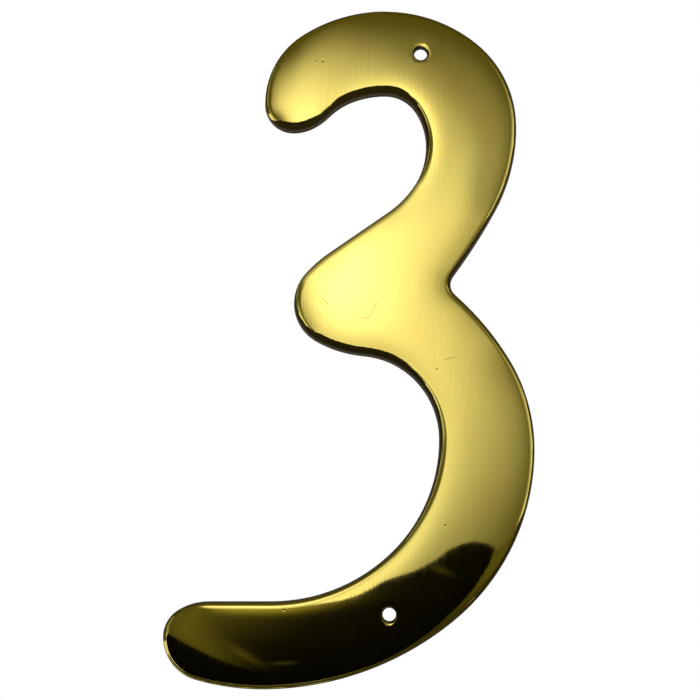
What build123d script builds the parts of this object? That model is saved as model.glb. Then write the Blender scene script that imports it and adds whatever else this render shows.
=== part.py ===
import os
from math import atan2, cos, degrees, radians, sin, sqrt, tan

from build123d import *

# House number, the figure 3, cast in brass in one piece and polished.
# Its face is crowned, its shoulder is rolled along the whole outline, its wall is drafted
# and its back is flat. It is fixed from the front by two screws.
# Lengths are in millimetres and angles in degrees. The figure is drawn as it is seen from the front,
# measured from its lower left corner.

# Heights of the figure, stacked from the bottom up
bottom_arm_depth = 19.6
lower_bay_height = 54.8
waist_depth = 32.3
upper_bay_height = 26.6
top_arm_depth = 19.1

# Widths of the figure
lower_arm_reach = 61.7  # from the lower tip to the lower bay's wall
lower_bowl_width = 21.4
upper_bay_inset = 2.8  # how far the upper bay's wall stands left of the lower one's
upper_bowl_width = 20.4
upper_arm_reach = 36.4  # from the upper tip to the upper bay's wall
spur_reach = 32.6  # from the spur's tip to the lower bay's wall
notch_bite = 19.9  # how far the waist's notch cuts in from the lower bowl

# Lower arm and bowl
lower_tip_drop = 7.8
lower_end_length = 10.1
lower_heel_length = 22.2
lower_bay_floor_start = 24.2
lower_bay_rise = 36.1
lower_bowl_rise = 53.6

# Waist, spur and notch
spur_under_length = 15.7
spur_tip_rise = 11.9
spur_brow_length = 7.8
spur_brow_rise = 23.1
spur_root_inset = 8.6
notch_rise = 15.6
notch_radius = 3.0
spur_under_heading = -5
notch_upper_heading = 52
notch_lower_heading = 141

# Upper arm and bowl
upper_bay_rise = 15.0
arch_inset = 9.2
bay_mouth_drop = 4.8
bay_mouth_length = 14.5
bay_mouth_heading = 45
upper_foot_drop = 8.4
upper_tip_radius = 6.5
upper_bowl_drop = 26.3

# Section of the casting
thickness = 4.0
wall_draft = 3
crown_drop = 0.65
crown_reach = 4.5
shoulder_radius = 1.5

# Screw holes
screw_hole_radius = 1.5
screw_rim_radius = 0.45
upper_screw_inset = 21.6  # from the upper bowl's right side
upper_screw_drop = 9.9
lower_screw_inset = 32.6  # from the lower bowl's right side
lower_screw_rise = 16.7

# Levels and sides that follow from the sizes
lower_bay_floor = bottom_arm_depth
waist_under = lower_bay_floor + lower_bay_height
waist_over = waist_under + waist_depth
upper_bay_head = waist_over + upper_bay_height
figure_top = upper_bay_head + top_arm_depth
lower_bay_wall = lower_arm_reach
lower_bowl_side = lower_bay_wall + lower_bowl_width
upper_bay_wall = lower_bay_wall - upper_bay_inset
upper_bowl_side = upper_bay_wall + upper_bowl_width
upper_tip = upper_bay_wall - upper_arm_reach
upper_foot = upper_bay_head - upper_foot_drop
spur_tip = lower_bay_wall - spur_reach
notch = (lower_bowl_side - notch_bite, waist_under + notch_rise)
spur_root = (upper_bay_wall - spur_root_inset, waist_over)
spur_brow = (spur_tip + spur_brow_length, waist_under + spur_brow_rise)
spur_top_heading = degrees(atan2(spur_brow[1] - spur_root[1], spur_brow[0] - spur_root[0]))
upper_screw = (upper_bowl_side - upper_screw_inset, figure_top - upper_screw_drop)
lower_screw = (lower_bowl_side - lower_screw_inset, lower_screw_rise)

# Knots of the outline, each with its place and its heading, walked anticlockwise from the notch
outline_knots = [
    (*notch, notch_upper_heading),
    (upper_bowl_side, figure_top - upper_bowl_drop, 90),
    (upper_bay_wall - arch_inset, figure_top, 180),
    (upper_tip, upper_foot + upper_tip_radius, 270),
    (upper_tip + upper_tip_radius, upper_foot, 0),
    (upper_tip + bay_mouth_length, upper_bay_head - bay_mouth_drop, bay_mouth_heading),
    (upper_bay_wall - arch_inset, upper_bay_head, 0),
    (upper_bay_wall, waist_over + upper_bay_rise, 270),
    (*spur_root, spur_top_heading),
    (*spur_brow, spur_top_heading),
    (spur_tip, waist_under + spur_tip_rise, 270),
    (spur_tip + spur_under_length, waist_under, spur_under_heading),
    (lower_bay_wall, lower_bay_floor + lower_bay_rise, 270),
    (lower_bay_floor_start, lower_bay_floor, 180),
    (lower_end_length, lower_bay_floor, 180),
    (0, lower_bay_floor - lower_tip_drop, 270),
    (lower_heel_length, 0, 0),
    (lower_bowl_side, lower_bowl_rise, 90),
    (*notch, notch_lower_heading),
]


def join_knots(start, end):
    # A straight line where the heading stays the same, otherwise two arcs that share a tangent
    start_x, start_y, start_heading = start
    end_x, end_y, end_heading = end
    start_place = Vector(start_x, start_y)
    end_place = Vector(end_x, end_y)
    if start_heading == end_heading:
        Line(start_place, end_place)
        return
    leaving = Vector(cos(radians(start_heading)), sin(radians(start_heading)))
    arriving = Vector(cos(radians(end_heading)), sin(radians(end_heading)))
    span = end_place - start_place
    bend = 2 * (1 - leaving.dot(arriving))
    run = span.dot(leaving + arriving)
    handle = (sqrt(run**2 + bend * span.dot(span)) - run) / bend
    meeting = (start_place + end_place + (leaving - arriving) * handle) / 2
    first_arc = TangentArc(start_place, meeting, tangent=leaving)
    TangentArc(meeting, end_place, tangent=first_arc % 1)


# The drawing lies on the flat back, with the part's origin midway between the screw holes
screw_middle = (Vector(*upper_screw) + Vector(*lower_screw)) / 2
drawing = Plane((-screw_middle.X, 0, -screw_middle.Y), x_dir=(1, 0, 0), z_dir=(0, -1, 0))

with BuildSketch(drawing) as figure:
    with BuildLine():
        for start, end in zip(outline_knots, outline_knots[1:]):
            join_knots(start, end)
    make_face()
    fillet(figure.vertices().sort_by_distance(notch)[0], notch_radius)

outline = figure.sketch.face().outer_wire()
inward = drawing.z_dir.cross(outline % 0)
section_plane = Plane(outline @ 0, x_dir=inward, z_dir=outline % 0)
edge_height = thickness - crown_drop
edge_corner = (edge_height * tan(radians(wall_draft)), edge_height)
crown_start = (crown_reach, thickness)

with BuildPart() as house_number:
    # Flat middle of the face, inside the crown
    with BuildSketch(drawing):
        add(figure.sketch_local)
        offset(amount=-crown_reach, mode=Mode.REPLACE)
    extrude(amount=thickness)
    # Drafted wall, rolled shoulder and crown, swept along the outline
    with BuildSketch(section_plane) as section:
        with BuildLine():
            Line((0, 0), edge_corner)
            TangentArc(crown_start, edge_corner, tangent=(-1, 0))
            Polyline(crown_start, (crown_reach, 0), (0, 0))
        make_face()
        fillet(section.vertices().sort_by_distance(edge_corner)[0], shoulder_radius)
    sweep(path=outline)
    # Screw holes, with rims softened by the polishing
    with BuildSketch(drawing):
        with Locations(upper_screw, lower_screw):
            Circle(screw_hole_radius)
    extrude(amount=thickness, mode=Mode.SUBTRACT)
    hole_edges = house_number.edges().filter_by(lambda edge: edge.is_closed)
    fillet(hole_edges.group_by(Axis.Y)[0], screw_rim_radius)

house_number.part.label = "house_number"
os.makedirs("parts", exist_ok=True)
export_step(house_number.part, "parts/house_number.step")
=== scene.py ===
import math
import bpy
import bmesh
import numpy as np
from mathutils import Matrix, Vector
from mathutils.geometry import convex_hull_2d, delaunay_2d_cdt


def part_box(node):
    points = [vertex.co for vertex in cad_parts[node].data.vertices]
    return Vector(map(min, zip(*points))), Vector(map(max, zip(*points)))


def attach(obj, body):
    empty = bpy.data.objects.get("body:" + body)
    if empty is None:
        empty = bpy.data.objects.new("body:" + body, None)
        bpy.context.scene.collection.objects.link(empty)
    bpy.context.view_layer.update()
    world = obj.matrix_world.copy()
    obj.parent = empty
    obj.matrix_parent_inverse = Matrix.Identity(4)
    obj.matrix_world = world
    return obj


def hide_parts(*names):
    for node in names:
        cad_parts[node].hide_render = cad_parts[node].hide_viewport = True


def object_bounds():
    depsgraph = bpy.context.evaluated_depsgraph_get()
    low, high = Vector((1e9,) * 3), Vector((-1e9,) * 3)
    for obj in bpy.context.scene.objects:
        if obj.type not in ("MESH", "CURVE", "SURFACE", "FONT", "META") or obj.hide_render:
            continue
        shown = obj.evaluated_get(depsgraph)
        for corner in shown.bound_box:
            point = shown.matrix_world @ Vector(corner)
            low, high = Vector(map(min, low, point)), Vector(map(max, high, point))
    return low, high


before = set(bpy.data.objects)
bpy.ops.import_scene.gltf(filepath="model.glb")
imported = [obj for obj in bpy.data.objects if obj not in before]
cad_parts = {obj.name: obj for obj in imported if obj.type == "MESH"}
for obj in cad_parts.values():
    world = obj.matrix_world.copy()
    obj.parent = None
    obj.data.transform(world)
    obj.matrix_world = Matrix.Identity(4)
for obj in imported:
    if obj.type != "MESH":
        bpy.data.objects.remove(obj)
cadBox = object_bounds()
scene = bpy.context.scene
scene.view_settings.view_transform = "Standard"
mm = 0.001
print("frame: house_number is", [round((b - a) / mm, 1) for a, b in zip(*cadBox)], "mm")

# The figure: its outline and its screw holes are read off the flat back of the casting
figureLook = {
    "gap": 0.45 * mm,          # between points along the outline
    "soften": 0.5 * mm,        # how far the polishing evens out the outline
    "wallDraft": 3.0,          # degrees
    "shoulder": 1.5 * mm,      # radius rolled over the edge
    "edgeRadius": 1.1 * mm,    # tighter towards the wall
    "edgeSharper": 0.25 * mm,  # tighter still on the upper edges inside the bays
    "ledgeSharper": 0.5 * mm,  # and tighter again along the top of the spur
    "edgeFrom": 16.0,          # degrees, where it tightens
    "leastTurn": 5.0,          # degrees that the roll turns before it tightens
    "ledgeTurn": 2.0,          # degrees fewer along the top of the spur
    "crownLift": 0.45 * mm,    # the middle of a stroke stands this far over the outer shoulder
    "crownInBays": 0.65,       # share of that lift that the shoulder keeps inside the bays
    "crownReach": 3.5 * mm,    # how soon the crown levels out
    "crownSlope": 7.0,         # degrees, where the shoulder is first laid out
    "bayCrease": 16.0,         # degrees that the shoulder breaks from the face inside the bays
    "wallRows": 5,
    "shoulderRows": 12,
    "crownRows": [0.3, 0.65, 1.05, 1.5, 2.0, 2.6, 3.2],   # mm in from the shoulder
    "faceGap": 0.62 * mm,      # between points in the middle of the strokes
    "backGap": 3.0 * mm,
    "edgeRoom": 0.6,           # share of a gap left free beside the edge rows
    "holeRoom": 0.5,           # and round the holes
    # What an edge counts as, by how far it faces one way: base and gain
    "isUnder": (0, 2),
    "isSoffit": (-1.8, 3),
    "isSide": (-0.3, 1.6),
    "isTip": (-0.3, 1.4),
    "isNotchUnder": (0.8, 1.5),
    "isBelowTop": (1.3, 1.5),
    "isBelowSide": (1, 2),
    # and by how far it lies back from the figure's outer line
    "shelter": (2 * mm, 8 * mm),       # where the crown flattens
    "spurTip": (18 * mm, 26 * mm),     # left edges nearer than this are tips
    "tipRolls": 0.4,                   # share of the flattening that the spur's tip goes without
    "deepInBays": (8 * mm, 22 * mm),   # where the mop misses the upright edges, which also get painted shade
    "deepInNotch": (5 * mm, 15 * mm),
    "soffitShadeFrom": (0.3 * mm, 2 * mm),    # where undersides get painted shade, laid on like casting skin
    "soffitShadeReach": 0.9 * mm,             # how far that painted shade fades out onto the face
    "lowEndShade": (25 * mm, 45 * mm),     # below the middle, where the outer sides get as much painted shade as the bays
    "dullOutside": 0.4,        # share of the shoulder left dull
    # shares of the shoulder that are dark: in the bays partly unpolished skin and partly painted shade, on
    # the right sides painted shade
    "skinAndShadeInBays": 0.85,
    "shadeRight": 0.68,
    "skinAndShadeEdge": 2.5,           # how sharply the dull skin and painted shade end
    "holePoints": 64,
    "rimRadius": 0.45 * mm,    # softened rim of a screw hole
    "rimRows": 5,
    "boreRows": 2,
    "rimPolish": 0.2,          # share of a hole's rim that is polished; the rest is dark with painted shade
    "rimDragged": 0.55,        # and on the side where the mop ran off
    "dragWay": (0.5, 0.86),    # that side of the upper hole, the lower hole's is opposite
    "dragSpread": (5, 1.5),    # higher is narrower: upper hole, lower hole
    "rimWorn": 2.0,            # how much wider that side is on the lower hole
    "boreShadeLevel": 2.0,           # bores are darker than the wall: painted shade
}


def loopsOnBack(node):  # closed loops round the flat back, longest first
    mesh = node.data
    spots = np.empty(len(mesh.vertices) * 3)
    mesh.vertices.foreach_get("co", spots)
    fine = 0.001 * mm  # points nearer than this are one
    names = [tuple(p) for p in np.round(spots.reshape(-1, 3) / fine).astype(int)]
    sides = {}
    for face in mesh.polygons:
        corners = [names[i] for i in face.vertices]
        if any(abs(c[1]) > 1 for c in corners):
            continue
        for a, b in zip(corners, corners[1:] + corners[:1]):
            sides[(a, b)] = True
    rim = {a: b for a, b in sides if (b, a) not in sides}
    loops = []
    while rim:
        start, here = rim.popitem()
        loop = [start]
        while here != start:
            loop.append(here)
            here = rim.pop(here)
        loops.append(np.array([(x, z) for x, y, z in loop]) * fine)
    return sorted(loops, key=len, reverse=True)


def evenLoop(points, gap, soften):  # evenly spaced points along a loop, with their inward directions
    ring = points[:, 0] + 1j * points[:, 1]
    ring = np.append(ring, ring[0])
    area = 0.5 * np.sum(np.imag(np.conj(ring[:-1]) * ring[1:]))
    if area < 0:
        ring = ring[::-1]
    run = np.append(0, np.cumsum(np.abs(np.diff(ring))))
    count = int(round(run[-1] / gap))
    places = np.arange(count) * run[-1] / count
    even = np.interp(places, run, ring.real) + 1j * np.interp(places, run, ring.imag)
    waves = np.fft.fftfreq(count, run[-1] / count)
    spread = np.fft.fft(even) * np.exp(-2 * (math.pi * waves * soften) ** 2)
    even = np.fft.ifft(spread)
    along = np.fft.ifft(spread * 2j * math.pi * waves)
    inward = 1j * along / np.abs(along)
    return np.column_stack((even.real, even.imag)), np.column_stack((inward.real, inward.imag))


def depthInside(spots, outline, inward):  # how far each spot lies inside the outline
    depth = np.empty(len(spots))
    batch = 2000
    for i in range(0, len(spots), batch):
        part = spots[i:i + batch]
        apart = np.linalg.norm(part[:, None] - outline[None], axis=2)
        near = apart.argmin(axis=1)
        side = np.sum((part - outline[near]) * inward[near], axis=1)
        depth[i:i + batch] = np.where(side > 0, apart[np.arange(len(part)), near], -1)
    return depth


def innerGrid(outline, inward, depth, holes, gap, look):  # equal triangles, clear of the edge and the holes
    low, high = outline.min(axis=0), outline.max(axis=0)
    rows = np.arange(low[1], high[1], gap * math.sqrt(0.75))
    columns = np.arange(low[0], high[0], gap)
    grid = np.array([(x + gap / 2 * (k % 2), z) for k, z in enumerate(rows) for x in columns])
    grid = grid[depthInside(grid, outline, inward) > depth + look["edgeRoom"] * gap]
    for centre, radius in holes:
        grid = grid[np.linalg.norm(grid - centre, axis=1) > radius + look["holeRoom"] * gap]
    return grid


def fillBetween(outer, holes, inner):  # triangles between an outer loop and some hole loops
    loops = [outer] + holes
    spots = np.vstack(loops + [inner])
    sides, first = [], 0
    for loop in loops:
        k = len(loop)
        sides += [(first + i, first + (i + 1) % k) for i in range(k)]
        first += k
    insideOnly = 1
    nearest = 1e-9
    done = delaunay_2d_cdt([Vector(p) for p in spots], sides, [], insideOnly, nearest)
    flat = np.array([tuple(p) for p in done[0]])
    triangles = np.array(done[2])
    middles = flat[triangles].mean(axis=1)
    keep = np.ones(len(triangles), bool)
    for hole in holes:
        centre = hole.mean(axis=0)
        rim, spot = hole - centre, middles - centre
        ways = np.arctan2(rim[:, 1], rim[:, 0])
        radius = np.linalg.norm(rim, axis=1)
        limit = np.interp(np.arctan2(spot[:, 1], spot[:, 0]), ways, radius, period=2 * math.pi)
        keep &= np.linalg.norm(spot, axis=1) > limit
    return triangles[keep]


def settleCrown(spots, triangles, held, start, lift, reach):  # a film held at the shoulder and lifted between
    a, b, c = (spots[triangles[:, k]] for k in range(3))
    double = np.abs((b - a)[:, 0] * (c - a)[:, 1] - (b - a)[:, 1] * (c - a)[:, 0])
    share = np.bincount(triangles.ravel(), np.repeat(double / 6, 3), len(spots))
    first, second, pull = [], [], []
    for k in range(3):
        i, j, o = triangles[:, k], triangles[:, (k + 1) % 3], triangles[:, (k + 2) % 3]
        corner = np.sum((spots[i] - spots[o]) * (spots[j] - spots[o]), axis=1) / double / 2
        first += [i, j]
        second += [j, i]
        pull += [corner, corner]
    first, second, pull = np.concatenate(first), np.concatenate(second), np.concatenate(pull)
    total = np.bincount(first, pull, len(spots))
    loose = ~held

    def tension(h):
        spread = total * h - np.bincount(first, pull * h[second], len(spots))
        return np.where(loose, share * h + reach ** 2 * spread, 0)

    mostTurns = 300
    settled = 1e-22
    scale = share + reach ** 2 * total
    height = start.copy()
    rest = np.where(loose, share * lift, 0) - tension(height)
    step = rest / scale
    along = np.sum(rest * step)
    for turn in range(mostTurns):
        pushed = tension(step)
        size = along / np.sum(step * pushed)
        height += size * step
        rest -= size * pushed
        ready = rest / scale
        after = np.sum(rest * ready)
        if after < settled:
            break
        step = ready + after / along * step
        along = after
    print("crown: settled in", turn + 1, "turns, lift", round(height.max() / mm, 3), "mm")
    return height


def easeBetween(value, low, high):  # 0 up to low, 1 from high on
    part = np.clip((value - low) / (high - low), 0, 1)
    return part * part * (3 - 2 * part)


def facingShare(way, base, gain):  # 0 to 1, rising with how far an edge faces one way
    return np.clip(base + gain * way, 0, 1)


def softEnd(past, sharpness):  # a half where the dull skin and painted shade end, 1 well inside it
    return np.clip(0.5 + past * sharpness, 0, 1)


def behindHull(outline):  # how far each point lies back from the figure's outer line, and which lie in a bay
    corners = sorted(convex_hull_2d([Vector(p) for p in outline]))
    away = np.zeros(len(outline))
    inBay = np.zeros(len(outline), bool)
    for i, j in zip(corners, corners[1:] + [corners[0] + len(outline)]):
        between = np.arange(i, j) % len(outline)
        a, b = outline[i], outline[j % len(outline)]
        side = (b - a) / np.linalg.norm(b - a)
        away[between] = (outline[between] - a) @ np.array((-side[1], side[0]))
        inBay[between] = b[1] < a[1]  # the bays open to the left, the notch to the right
    return away, inBay


def edgeKinds(outline, inward, look):  # what each point of the outline is, in shares from 0 to 1
    left, down = inward[:, 0], inward[:, 1]  # how far its edge faces left and down
    away, inBay = behindHull(outline)
    shelter = easeBetween(away, *look["shelter"])
    under = facingShare(down, *look["isUnder"])
    upper = facingShare(-down, *look["isUnder"])
    bayWall = (1 - under - upper) * easeBetween(away, *look["deepInBays"])
    # painted shade in the deep underside of the notch
    shadedNotch = easeBetween(away, *look["deepInNotch"]) * facingShare(down, *look["isNotchUnder"])
    # painted shade, with dull skin where the mop misses: undersides and deep upright edges in the bays
    shelteredAndShaded = np.where(inBay, under * shelter + bayWall, shadedNotch)
    ledge = upper * inBay * (outline[:, 1] > 0)  # the top of the spur
    # painted shade along the undersides in the bays, carried a little onto the face
    soffitShade = facingShare(down, *look["isSoffit"]) * easeBetween(away, *look["soffitShadeFrom"]) * inBay
    spurTip = facingShare(left, *look["isTip"]) * inBay * (1 - easeBetween(away, *look["spurTip"]))
    # painted shade on the right-facing sides below the top
    rightSideShade = facingShare(-left, *look["isSide"]) * facingShare(down, *look["isBelowTop"])
    rightSideShade = rightSideShade * ~inBay * (1 - shelteredAndShaded)
    # painted shade on the outer sides below the middle
    lowEndShade = easeBetween(-outline[:, 1], *look["lowEndShade"]) * facingShare(np.abs(left), *look["isSide"])
    lowEndShade = lowEndShade * ~inBay * facingShare(down, *look["isBelowSide"])
    # how far over the shoulder the dark skin and painted shade reach
    skinAndShadeReach = look["dullOutside"] + shelteredAndShaded * (look["skinAndShadeInBays"] - look["dullOutside"])
    skinAndShadeReach += rightSideShade * (look["shadeRight"] - look["dullOutside"]) + soffitShade
    return {
        "flattened": shelter * (1 - look["tipRolls"] * spurTip),
        "creased": shelteredAndShaded * inBay,
        "oneRoll": under * shelter * inBay,
        "bayTop": upper * inBay * shelter,
        "ledge": ledge,
        "soffitShade": soffitShade,
        "skinAndShadeReach": np.maximum(skinAndShadeReach, lowEndShade * look["skinAndShadeInBays"]),
    }


def buildFigure(node, look):
    loops = loopsOnBack(node)
    outline, inward = evenLoop(loops[0], look["gap"], look["soften"])
    count = len(outline)
    holes = []
    for loop in loops[1:]:
        centre = loop.mean(axis=0)
        holes.append((centre, np.linalg.norm(loop - centre, axis=1).mean()))
    thickness = -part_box(node.name)[0].y
    kinds = edgeKinds(outline, inward, look)
    print("outline:", len(loops[0]), "points on the casting,", count, "even ones,", len(holes), "screw holes")

    # Where the shoulder meets the crown, by a first layout with one slope all round
    draft = math.radians(look["wallDraft"])
    slope = math.radians(look["crownSlope"])
    rimHeight = thickness - look["crownLift"]
    wallTop = rimHeight - look["shoulder"] * (math.cos(slope) - math.sin(draft))
    rimDepth = wallTop * math.tan(draft) + look["shoulder"] * (math.cos(draft) - math.sin(slope))

    # Rims of the screw holes, worn on the side where the mop ran off
    points = look["holePoints"]
    turn = np.arange(points) * 2 * math.pi / points
    circle = np.column_stack((np.cos(turn), np.sin(turn)))
    drags, widths, rings, rimHoles = [], [], [], []
    for centre, radius in holes:
        isLower = int(centre[1] < 0)
        drag = np.clip(circle @ np.array(look["dragWay"]) * np.sign(centre[1]), 0, 1)
        drag = drag ** look["dragSpread"][isLower]
        width = look["rimRadius"] * (1 + drag * look["rimWorn"] * isLower)
        drags.append(drag)
        widths.append(width)
        rings.append(centre + circle * (radius + width)[:, None])
        rimHoles.append((centre, radius + width.max()))

    # The face, flat at first: rows along the shoulder, a staggered grid in the middle, rings round the holes
    depths = [rimDepth] + [rimDepth + d * mm for d in look["crownRows"]]
    rows = [outline + inward * d for d in depths]
    grid = innerGrid(outline, inward, depths[-1], rimHoles, look["faceGap"], look)
    spots = np.vstack(rows + rings + [grid])
    strips = []
    for k in range(len(rows) - 1):
        i = np.arange(count) + k * count
        j = np.roll(np.arange(count), -1) + k * count
        strips += [np.column_stack((i, j, j + count)), np.column_stack((i, j + count, i + count))]
    middle = fillBetween(rows[-1], rings, grid) + (len(rows) - 1) * count
    held = np.zeros(len(spots), bool)
    held[:count] = True
    start = np.zeros(len(spots))
    start[:count] = kinds["flattened"] * look["crownInBays"] * look["crownLift"]
    film = np.vstack(strips + [middle])
    crown = settleCrown(spots, film, held, start, look["crownLift"], look["crownReach"])

    # Shoulder, rolled so that it runs into the crown's own slope at each point
    rise = (crown[count:2 * count] - crown[:count]) / (depths[1] - depths[0])
    riseAfter = (crown[2 * count:3 * count] - crown[count:2 * count]) / (depths[2] - depths[1])
    rise += (rise - riseAfter) * (depths[1] - depths[0]) / (depths[2] - depths[0])
    lean = np.arctan(rise) + math.radians(look["bayCrease"]) * kinds["creased"]
    rims = rimHeight + crown[:count]
    leastTurn = math.radians(look["leastTurn"]) - kinds["ledge"] * math.radians(look["ledgeTurn"])
    turnsIn = np.maximum(math.radians(look["edgeFrom"]) * (1 - kinds["ledge"]), lean + leastTurn)
    room = rimDepth * math.cos(draft) - rims * math.sin(draft)
    even = room / (1 - np.sin(lean + draft))  # radius of one plain roll from face to wall
    tight = look["edgeRadius"] + kinds["oneRoll"] * (even - look["edgeRadius"])
    tight = tight - kinds["bayTop"] * look["edgeSharper"] - kinds["ledge"] * look["ledgeSharper"]
    wide = (room - tight * (1 - np.sin(turnsIn + draft))) / (np.sin(turnsIn + draft) - np.sin(lean + draft))
    tops = rims - wide * (np.cos(lean) - np.cos(turnsIn)) - tight * (np.cos(turnsIn) - math.sin(draft))
    verts, skinAndShade, first = [], [], []

    def addRow(flat, height, unpolishedAndShaded):
        first.append(sum(len(v) for v in verts))
        verts.append(np.column_stack((flat[:, 0], -np.broadcast_to(height, len(flat)), flat[:, 1])))
        skinAndShade.append(np.broadcast_to(unpolishedAndShaded, len(flat)))

    for k in range(look["wallRows"]):
        height = tops * k / look["wallRows"]
        addRow(outline + inward * (height * math.tan(draft))[:, None], height, 1.0)
    for k in range(look["shoulderRows"]):
        part = k / look["shoulderRows"]
        tilt = (1 - part) * (math.pi / 2 - draft) + part * lean
        gentle = np.minimum(tilt, turnsIn)
        steep = np.maximum(tilt, turnsIn)
        depth = rimDepth + wide * (np.sin(lean) - np.sin(gentle)) + tight * (np.sin(turnsIn) - np.sin(steep))
        height = rims - wide * (np.cos(lean) - np.cos(gentle)) - tight * (np.cos(turnsIn) - np.cos(steep))
        # dark over the outer share of the shoulder: partly unpolished skin, partly painted shade
        skin = softEnd(kinds["skinAndShadeReach"] - part, look["skinAndShadeEdge"])
        addRow(outline + inward * depth[:, None], height, skin)
    for k, row in enumerate(rows):
        # painted shade carried onto the face below the undersides in the bays
        skin = kinds["soffitShade"] * np.clip(1 - (depths[k] - rimDepth) / look["soffitShadeReach"], 0, 1)
        addRow(row, rimHeight + crown[k * count:(k + 1) * count], skin)
    edgeRows = len(first)
    ringStart = len(rows) * count
    addRow(spots[ringStart:], rimHeight + crown[ringStart:], 0.0)
    faces = []
    for k in range(edgeRows - 1):
        a, b = first[k], first[k + 1]
        faces += [(a + i, a + (i + 1) % count, b + (i + 1) % count, b + i) for i in range(count)]
    order = np.arange(len(spots))
    fromRows = order - (ringStart - count) + first[edgeRows - 1]
    fromRings = order - ringStart + first[edgeRows]
    toMesh = np.where(order < ringStart, fromRows, fromRings)
    faces += [tuple(toMesh[t]) for t in middle]
    wallFaces = set(range(look["wallRows"] * count))

    # Screw holes: a softened rim, then the bore down to the back
    backRings = []
    for h, (centre, radius) in enumerate(holes):
        top = ringStart + h * points
        topHeight = rimHeight + crown[top:top + points]
        above = toMesh[top:top + points]
        polished = look["rimPolish"] + drags[h] * (look["rimDragged"] - look["rimPolish"])
        for k in range(1, look["rimRows"] + look["boreRows"] + 1):
            if k <= look["rimRows"]:
                part = k / look["rimRows"]
                tilt = math.pi / 2 * part
                reach = radius + widths[h] * (1 - math.sin(tilt))
                height = topHeight - look["rimRadius"] * (1 - math.cos(tilt))
                # the rest of the rim is painted shade; only the side where the mop ran off stays polished
                skin = softEnd(part - polished, look["skinAndShadeEdge"])
            else:
                part = (k - look["rimRows"]) / look["boreRows"]
                reach = np.full(points, radius)
                height = (topHeight - look["rimRadius"]) * (1 - part)
                # painted shade: the bores
                skin = look["boreShadeLevel"]
                wallFaces |= set(range(len(faces), len(faces) + points))
            addRow(centre + circle * reach[:, None], height, skin)
            here = first[-1] + np.arange(points)
            after = np.roll(np.arange(points), -1)
            faces += list(zip(above, above[after], here[after], here))
            above = here
        backRings.append((above, centre + circle * radius))
    edgeFaces = len(faces)

    # Flat back
    grid = innerGrid(outline, inward, 0.0, holes, look["backGap"], look)
    addRow(grid, 0.0, 1.0)
    flatBack = fillBetween(outline, [ring for above, ring in backRings], grid)
    backIndex = list(range(count)) + [i for above, ring in backRings for i in above]
    backIndex += list(range(first[-1], first[-1] + len(grid)))
    faces += [tuple(backIndex[i] for i in reversed(t)) for t in flatBack]

    mesh = bpy.data.meshes.new("house_number_brass")
    mesh.from_pydata(np.vstack(verts).tolist(), [], [[int(i) for i in f] for f in faces])
    onFace, onBack, onWall = range(3)  # order of the finishes
    finish = [onBack if i >= edgeFaces else onWall if i in wallFaces else onFace for i in range(len(faces))]
    mesh.polygons.foreach_set("material_index", finish)
    mesh.polygons.foreach_set("use_smooth", [True] * len(faces))
    # per point: 0 polished, 1 for dark casting skin and painted shade, higher in the bores, which are painted
    # shade
    mesh.attributes.new("skinAndShade", "FLOAT", "POINT").data.foreach_set("value", np.concatenate(skinAndShade))
    shaper = bmesh.new()
    shaper.from_mesh(mesh)
    bmesh.ops.recalc_face_normals(shaper, faces=shaper.faces)
    for edge in shaper.edges:
        backs = [f.material_index for f in edge.link_faces].count(onBack)
        edge.smooth = backs != 1  # the back meets the wall sharply
    loose = sum(not e.is_manifold for e in shaper.edges)
    shaper.to_mesh(mesh)
    shaper.free()
    piece = bpy.data.objects.new("house_number_brass", mesh)
    scene.collection.objects.link(piece)
    triangles = sum(len(p.vertices) - 2 for p in mesh.polygons)
    print("figure:", len(mesh.vertices), "points,", triangles, "triangles,", loose, "open edges")
    return piece


houseNumber = buildFigure(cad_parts["house_number"], figureLook)
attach(houseNumber, "root")
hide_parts("house_number")


def plugIn(tree, socket, value):
    if isinstance(value, bpy.types.NodeSocket):
        tree.links.new(value, socket)
    else:
        socket.default_value = value


def addNode(tree, kind, plugs=None, **traits):  # a node with its settings, values and incoming links
    made = tree.nodes.new("ShaderNode" + kind)
    for name, value in traits.items():
        setattr(made, name, value)
    for name, value in (plugs or {}).items():
        plugIn(tree, made.inputs[name], value)
    return made.outputs[0]


def setShader(tree, shader, **plugs):
    for name, value in plugs.items():
        plugIn(tree, shader.inputs[name.replace("_", " ")], value)


def calc(tree, operation, first, second=0.0):
    return addNode(tree, "Math", {0: first, 1: second}, operation=operation)


def vectorCalc(tree, operation, first, second):
    return addNode(tree, "VectorMath", {0: first, 1: second}, operation=operation)


def dotProduct(tree, first, second):
    return vectorCalc(tree, "DOT_PRODUCT", first, second).node.outputs["Value"]


def scaled(tree, first, factor):
    return addNode(tree, "VectorMath", {0: first, "Scale": factor}, operation="SCALE")


def mixTint(tree, part, first, second):
    made = addNode(tree, "Mix", {0: part, 6: first, 7: second}, data_type="RGBA")
    return made.node.outputs[2]


def ramp(tree, value, between, to=(0.0, 1.0)):
    plugs = {"Value": value, "From Min": between[0], "From Max": between[1], "To Min": to[0], "To Max": to[1]}
    return addNode(tree, "MapRange", plugs, interpolation_type="SMOOTHSTEP")


def noise(tree, place, pattern):  # cloudy pattern, with its size in mm along x, y and z
    sized = vectorCalc(tree, "MULTIPLY", place, [1 / s for s in pattern["size"]])
    return addNode(tree, "TexNoise", {"Vector": sized, "Scale": 1.0, "Detail": pattern["detail"]})


def bump(tree, height, depth, under=None):  # depth in mm for a height of one
    plugs = {"Height": height, "Distance": depth * mm}
    if under:
        plugs["Normal"] = under
    return addNode(tree, "Bump", plugs)


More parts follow.
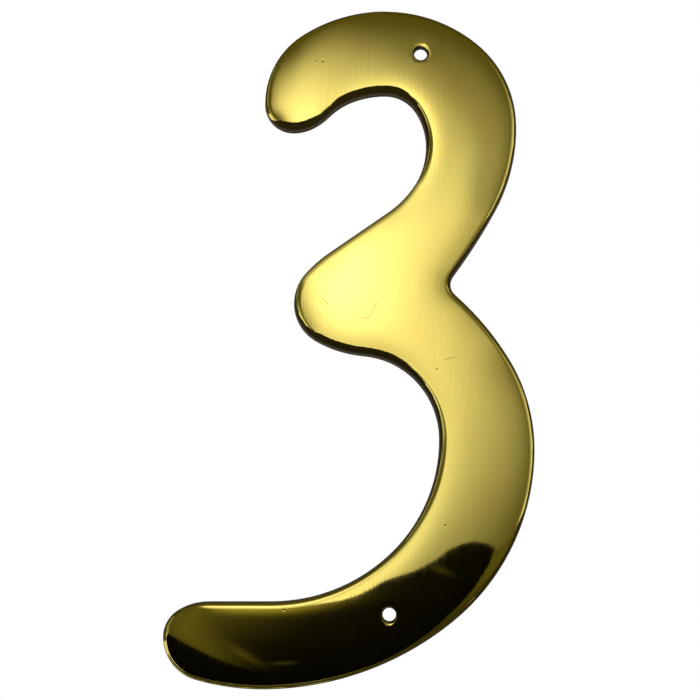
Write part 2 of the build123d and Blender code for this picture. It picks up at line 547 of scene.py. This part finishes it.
def nearLine(tree, place, start, end, width, core):  # 1 on a line between two places on the face, 0 beside it
    here = vectorCalc(tree, "SUBTRACT", place, (start[0], 0, start[1]))
    here = vectorCalc(tree, "MULTIPLY", here, (1, 0, 1))
    span = Vector((end[0] - start[0], 0, end[1] - start[1]))
    if span.length:
        along = dotProduct(tree, here, span / span.length_squared)
        along = addNode(tree, "Clamp", {"Value": along})
        here = vectorCalc(tree, "SUBTRACT", here, scaled(tree, tuple(span), along))
    apart = addNode(tree, "VectorMath", {0: here}, operation="LENGTH").node.outputs["Value"]
    return ramp(tree, apart, (width * core, width), (1.0, 0.0))


def newMaterial(name):
    material = bpy.data.materials.new(name)
    material.use_nodes = True
    tree = material.node_tree
    shader = tree.nodes["Principled BSDF"]
    coords = addNode(tree, "TexCoord").node.outputs["Object"]
    return material, tree, shader, scaled(tree, coords, 1 / mm)


def readSkinAndShade(tree):  # how unpolished the casting is, together with painted shade, as laid out along its edge
    return addNode(tree, "Attribute", attribute_name="skinAndShade").node.outputs["Fac"]


# Polished face: bright brass, buffed up and down, with the dull skin left where the mop did not reach and
# painted shade on undersides, lower and right sides, in the bays and on the hole rims
brassLook = {
    "bright": (0.89, 0.74, 0.19, 1),
    "warm": (0.86, 0.68, 0.165, 1),
    # dark colour for scratches, pits and casting skin, and for painted shade
    "skin": (0.040, 0.027, 0.004, 1),
    "gloss": (0.045, 0.080),       # roughness of the polish, across the buffing's streaks
    "skinRough": 0.5,
    "streak": {"size": (0.35, 0.35, 7.0), "detail": 3.0},
    "streakFrom": (0.35, 0.75),
    "streakDepth": 0.003,          # mm, like the other depths
    "wave": {"size": (17.0, 17.0, 22.0), "detail": 1.0},
    "waveFrom": (0.35, 0.7),
    "waveDepth": 0.030,
    "grain": {"size": (0.7, 0.7, 0.7), "detail": 4.0},
    "grainDepth": 0.05,
    "ragged": {"size": (4.0, 4.0, 4.0), "detail": 2.0},   # unevenness along the end of the skin and painted shade
    "frayFrom": (0.3, 0.7),
    "grainFray": (-0.02, 0.02),    # how far the skin's end is shifted
    "raggedFray": (-0.06, 0.06),
    "skinAndShadeEnd": (0.38, 0.62),
    "scratches": [                 # mm on the face: start, end, width
        ((-18.58, 7.64), (-17.23, 6.3), 0.14),
        ((-6.27, 6.73), (-8.06, 3.14), 0.12),
        ((-8.06, 3.14), (-9.63, 3.14), 0.11),
        ((8.9, -6.28), (11.13, -5.61), 0.13),
    ],
    "scratchShade": 0.2,
    "pits": [                      # mm on the face: place, width
        ((-18.39, 61.19), 0.34),
        ((-19.85, 61.31), 0.22),
        ((7.11, -8.3), 0.26),
        ((8.94, -43.18), 0.34),
        ((-26.96, -61.87), 0.36),
    ],
    "pitShade": 0.5,
    "markCore": 0.3,               # share of a mark's width that is full depth
    "markRough": 0.3,
    "markDepth": 0.03,
}


def polishedBrass(look):
    material, tree, shader, place = newMaterial("polishedBrass")
    streak = noise(tree, place, look["streak"])
    wave = noise(tree, place, look["wave"])
    grain = noise(tree, place, look["grain"])
    ragged = noise(tree, place, look["ragged"])
    # unpolished skin and painted shade, with a ragged end
    unpolishedAndShaded = calc(tree, "ADD", readSkinAndShade(tree), ramp(tree, grain, look["frayFrom"], look["grainFray"]))
    unpolishedAndShaded = calc(tree, "ADD", unpolishedAndShaded, ramp(tree, ragged, look["frayFrom"], look["raggedFray"]))
    unpolishedAndShaded = ramp(tree, unpolishedAndShaded, look["skinAndShadeEnd"])
    marks = [(a, b, width, look["scratchShade"]) for a, b, width in look["scratches"]]
    marks += [(a, a, width, look["pitShade"]) for a, width in look["pits"]]
    mark = 0.0
    for a, b, width, shade in marks:
        faint = calc(tree, "MULTIPLY", nearLine(tree, place, a, b, width, look["markCore"]), shade)
        mark = calc(tree, "MAXIMUM", mark, faint)
    tint = mixTint(tree, ramp(tree, wave, look["waveFrom"]), look["bright"], look["warm"])
    tint = mixTint(tree, mark, tint, look["skin"])
    # dark skin colour laid over the unpolished skin and the painted shade
    tint = mixTint(tree, unpolishedAndShaded, tint, look["skin"])
    rough = ramp(tree, streak, look["streakFrom"], look["gloss"])
    rough = calc(tree, "ADD", rough, calc(tree, "MULTIPLY", mark, look["markRough"]))
    rough = calc(tree, "ADD", rough, calc(tree, "MULTIPLY", unpolishedAndShaded, look["skinRough"]))
    relief = bump(tree, streak, look["streakDepth"])
    relief = bump(tree, wave, look["waveDepth"], relief)
    relief = bump(tree, calc(tree, "MULTIPLY", grain, unpolishedAndShaded), look["grainDepth"], relief)
    relief = bump(tree, calc(tree, "SUBTRACT", 1.0, mark), look["markDepth"], relief)
    setShader(tree, shader, Base_Color=tint, Metallic=1.0, Roughness=rough, Normal=relief)
    return material


# Back: cast skin rubbed flat on a belt
backLook = {
    "rubbed": (0.64, 0.49, 0.15, 1),
    "belted": (0.50, 0.37, 0.10, 1),
    "skin": (0.40, 0.29, 0.08, 1),
    "rough": (0.25, 0.4),
    "skinRough": 0.2,
    "line": {"size": (22.0, 22.0, 0.3), "detail": 4.0},
    "lineTint": (0.35, 0.65),
    "lineRough": (0.3, 0.7),
    "lineDepth": 0.02,             # mm
    "cloud": {"size": (11.0, 11.0, 11.0), "detail": 5.0},
    "cloudFrom": (0.48, 0.75),
    "cloudShade": (0.0, 0.8),
    "pit": {"size": (1.6, 1.6, 1.6), "detail": 2.0},
    "pitFrom": (0.64, 0.74),
    "pitDepth": 0.06,
}


def rubbedBack(look):
    material, tree, shader, place = newMaterial("rubbedBrassBack")
    line = noise(tree, place, look["line"])
    cloud = noise(tree, place, look["cloud"])
    pit = ramp(tree, noise(tree, place, look["pit"]), look["pitFrom"])
    skin = calc(tree, "MAXIMUM", ramp(tree, cloud, look["cloudFrom"], look["cloudShade"]), pit)
    tint = mixTint(tree, ramp(tree, line, look["lineTint"]), look["rubbed"], look["belted"])
    tint = mixTint(tree, skin, tint, look["skin"])
    rough = ramp(tree, line, look["lineRough"], look["rough"])
    rough = calc(tree, "ADD", rough, calc(tree, "MULTIPLY", skin, look["skinRough"]))
    relief = bump(tree, line, look["lineDepth"])
    relief = bump(tree, calc(tree, "SUBTRACT", 1.0, pit), look["pitDepth"], relief)
    setShader(tree, shader, Base_Color=tint, Metallic=1.0, Roughness=rough, Normal=relief)
    return material


# Wall and bores: brown casting skin with the sand's grain, never polished, darkened with painted shade; the
# bores are painted shade
wallLook = {
    # painted shade: the wall's casting skin is darkened almost to black, the bores further still
    "skin": (0.024, 0.015, 0.002, 1),
    "rubbed": (0.050, 0.034, 0.007, 1),
    "bore": (0.006, 0.004, 0.001, 1),
    "boreFrom": (1.0, figureLook["boreShadeLevel"]),
    "rough": (0.6, 0.75),
    "shine": 0.02,
    "grain": {"size": (0.5, 0.5, 0.5), "detail": 4.0},
    "grainFrom": (0.3, 0.7),
    "grainDepth": 0.09,            # mm
    "cloud": {"size": (5.0, 5.0, 5.0), "detail": 2.0},
    "cloudFrom": (0.45, 0.75),
}


def shadedCastWall(look):
    material, tree, shader, place = newMaterial("shadedCastWall")
    grain = noise(tree, place, look["grain"])
    cloud = noise(tree, place, look["cloud"])
    tint = mixTint(tree, ramp(tree, cloud, look["cloudFrom"]), look["skin"], look["rubbed"])
    # painted shade: near-black bores
    tint = mixTint(tree, ramp(tree, readSkinAndShade(tree), look["boreFrom"]), tint, look["bore"])
    rough = ramp(tree, grain, look["grainFrom"], look["rough"])
    relief = bump(tree, grain, look["grainDepth"])
    setShader(tree, shader, Base_Color=tint, Metallic=0.0, Roughness=rough, Normal=relief)
    setShader(tree, shader, Specular_IOR_Level=look["shine"])
    return material


for material in (polishedBrass(brassLook), rubbedBack(backLook), shadedCastWall(wallLook)):
    houseNumber.data.materials.append(material)
print("finishes:", [m.name for m in houseNumber.data.materials])

# Camera: a little low, tipped up to take the whole figure in. Places are in mm
cameraLook = {"at": (-3.318, -631, -48.812), "aim": (-12.368, 0, -3.742), "lens": 144.75, "sensor": 36}
eye = bpy.data.cameras.new("camera")
eye.lens = cameraLook["lens"]
eye.sensor_width = cameraLook["sensor"]
camera = bpy.data.objects.new("camera", eye)
camera.location = Vector(cameraLook["at"]) * mm
sight = Vector(cameraLook["aim"]) - Vector(cameraLook["at"])
camera.rotation_euler = sight.to_track_quat("-Z", "Y").to_euler()
scene.collection.objects.link(camera)
scene.camera = camera

# Room: white all round, with a pale floor under the figure
roomLook = {
    "white": (1, 1, 1, 1),
    "floor": (0.9, 0.9, 0.89, 1),
    "floorRough": 0.8,
    "mottle": {"size": (60.0, 60.0, 60.0), "detail": 3.0},
    "drop": 0.08,              # metres from the figure down to the floor
    "reach": 1.2,              # metres from the middle to the floor's sides
}
floorLevel = cadBox[0][2] - roomLook["drop"]
world = bpy.data.worlds.new("whiteRoom")
world.use_nodes = True
world.node_tree.nodes["Background"].inputs["Color"].default_value = roomLook["white"]
scene.world = world


def addCard(name, corners, place, facing):  # a flat sheet, drawn in its own plane
    mesh = bpy.data.meshes.new(name)
    mesh.from_pydata([(x, y, 0) for x, y in corners], [], [list(range(len(corners)))])
    card = bpy.data.objects.new(name, mesh)
    card.location = place
    card.rotation_euler = facing
    scene.collection.objects.link(card)
    return card


def rectangle(left, right, low, high):
    return [(left, low), (right, low), (right, high), (left, high)]


reach = roomLook["reach"]
floor = addCard("floor", rectangle(-reach, reach, -reach, reach), (0, 0, floorLevel), (0, 0, 0))
paint, tree, shader, place = newMaterial("paleFloor")
mottled = mixTint(tree, noise(tree, place, roomLook["mottle"]), roomLook["floor"], roomLook["white"])
setShader(tree, shader, Base_Color=mottled, Roughness=roomLook["floorRough"])
floor.data.materials.append(paint)

# Cards that only the polish sees, in mm: a graded screen in front, dim ones overhead and at both sides,
# three dark ones low in front of the figure, and an apron on the floor
flat = (0, 0, 0)
upright = (math.pi / 2, 0, 0)
sideways = (math.pi / 2, 0, math.pi / 2)
floorMm = floorLevel / mm
cardLook = {
    "dimTint": (1.0, 0.94, 0.25, 1),
    "cards": {                         # glows: brightness, place on the card, spread, turn in degrees
        "screen": {
            "corners": rectangle(-800, 800, floorMm, 600), "at": (0, -700, 0), "facing": upright,
            "dim": 0.095,
            "glows": [
                (1.2, (-75, 110), (45, 90), 50),
                (0.45, (-40, 125), (115, 30), 105),
                (1.5, (-70, -45), (25, 35), 110),
                (0.3, (-85, 30), (30, 30), 0),
                (0.35, (30, 115), (25, 20), 105),
                (0.3, (85, 80), (100, 85), 130),
                (0.45, (-38, 85), (18, 28), 0),
                (0.60, (-560, -80), (120, 80), 0),
                (0.60, (560, 100), (120, 260), 0),
            ],
        },
        "canopy": {
            "corners": rectangle(-800, 800, -700, 400), "at": (0, 0, 600), "facing": flat,
            "dim": 0.07,
        },
        "leftLow": {
            "corners": rectangle(-700, 400, floorMm, 100), "at": (-800, 0, 0), "facing": sideways,
            "dim": 0.07,
        },
        "leftHigh": {
            "corners": rectangle(-560, 400, 100, 600), "at": (-800, 0, 0), "facing": sideways,
            "dim": 0.07,
        },
        "rightHigh": {
            "corners": rectangle(-700, 400, 150, 600), "at": (800, 0, 0), "facing": sideways,
            "dim": 0.07,
            "glows": [(0.9, (-150, 150), (2000, 110), 0)],
        },
        "blackCard": {
            "corners": [(29, -52), (29, -57), (25, -66), (18, -75), (12, -115), (-70, -115),
                        (-70, -58.8), (-48, -57.3), (-30, -57.2), (-23.5, -57.4), (-16.5, -57.8),
                        (-12, -57), (-6, -54), (2, -53.2), (7.5, -51), (11, -48.6),
                        (15, -47.5), (19, -47.5), (25, -49.5)],
            "at": (0, -60, 0), "facing": upright,
            "dim": 0.002, "tinted": True,
            "glows": [
                (0.10, (-60, -64), (9, 7), 0),
                (0.4, (-36, -57.5), (11, 2), 0),
                (0.03, (-42, -62), (10, 5), 0),
                (0.06, (-49, -74.5), (7, 3.5), -33),
                (0.05, (-39, -76), (4, 0.8), -45),
                (0.05, (-29, -79.8), (2, 0.5), 0),
                (0.04, (9, -53.7), (3, 0.5), -29),
            ],
        },
        "underCard": {
            "corners": [(-36, -84), (-28, -88), (-28, -115), (-75, -115), (-98, -95), (-98, -71),
                        (-75, -66), (-64, -69), (-51.5, -75), (-43, -80.5)],
            "at": (0, -59, 0), "facing": upright,
            "dim": 0.002,
        },
        "rightCard": {
            "corners": rectangle(5, 60, -115, -53), "at": (0, -61, 0), "facing": upright,
            "dim": 0.04, "tinted": True,
            "glows": [(0.06, (40, -58), (20, 10), 0)],
        },
        "apron": {
            "corners": rectangle(-250, 300, -120, 10), "at": (0, 0, floorMm + 1), "facing": flat,
            "dim": 0.045,
            "glows": [(0.6, (320, -55), (70, 300), 0)],
        },
    },
}


def seenInPolish(card, dim, glows, glowTint):  # a card that only reflections see
    material = bpy.data.materials.new(card.name)
    material.use_nodes = True
    tree = material.node_tree
    tree.nodes.remove(tree.nodes["Principled BSDF"])
    place = addNode(tree, "TexCoord").node.outputs["Object"]
    total = 0.0
    for strength, middle, spread, angle in glows:
        plugs = {"Vector": place, "Location": (middle[0] * mm, middle[1] * mm, 0),
                 "Rotation": (0, 0, math.radians(angle)), "Scale": (spread[0] * mm, spread[1] * mm, 1)}
        inside = addNode(tree, "Mapping", plugs, vector_type="TEXTURE")
        apart = dotProduct(tree, inside, inside)
        fade = calc(tree, "EXPONENT", calc(tree, "MULTIPLY", apart, -0.5))  # bell curve
        total = calc(tree, "ADD", calc(tree, "MULTIPLY", fade, strength), total)
    base = addNode(tree, "Emission", {"Color": cardLook["dimTint"], "Strength": dim})
    glow = addNode(tree, "Emission", {"Color": glowTint, "Strength": total})
    both = addNode(tree, "AddShader", {0: base, 1: glow})
    tree.links.new(both, tree.nodes["Material Output"].inputs["Surface"])
    card.data.materials.append(material)
    card.visible_camera = False
    card.visible_diffuse = False
    card.visible_shadow = False
    card.visible_transmission = False


for name, look in cardLook["cards"].items():
    corners = [(x * mm, y * mm) for x, y in look["corners"]]
    card = addCard(name, corners, [v * mm for v in look["at"]], look["facing"])
    glowTint = cardLook["dimTint"] if "tinted" in look else roomLook["white"]
    seenInPolish(card, look["dim"], look.get("glows", []), glowTint)
print("room: floor at", round(floorMm), "mm,", len(cardLook["cards"]), "cards")
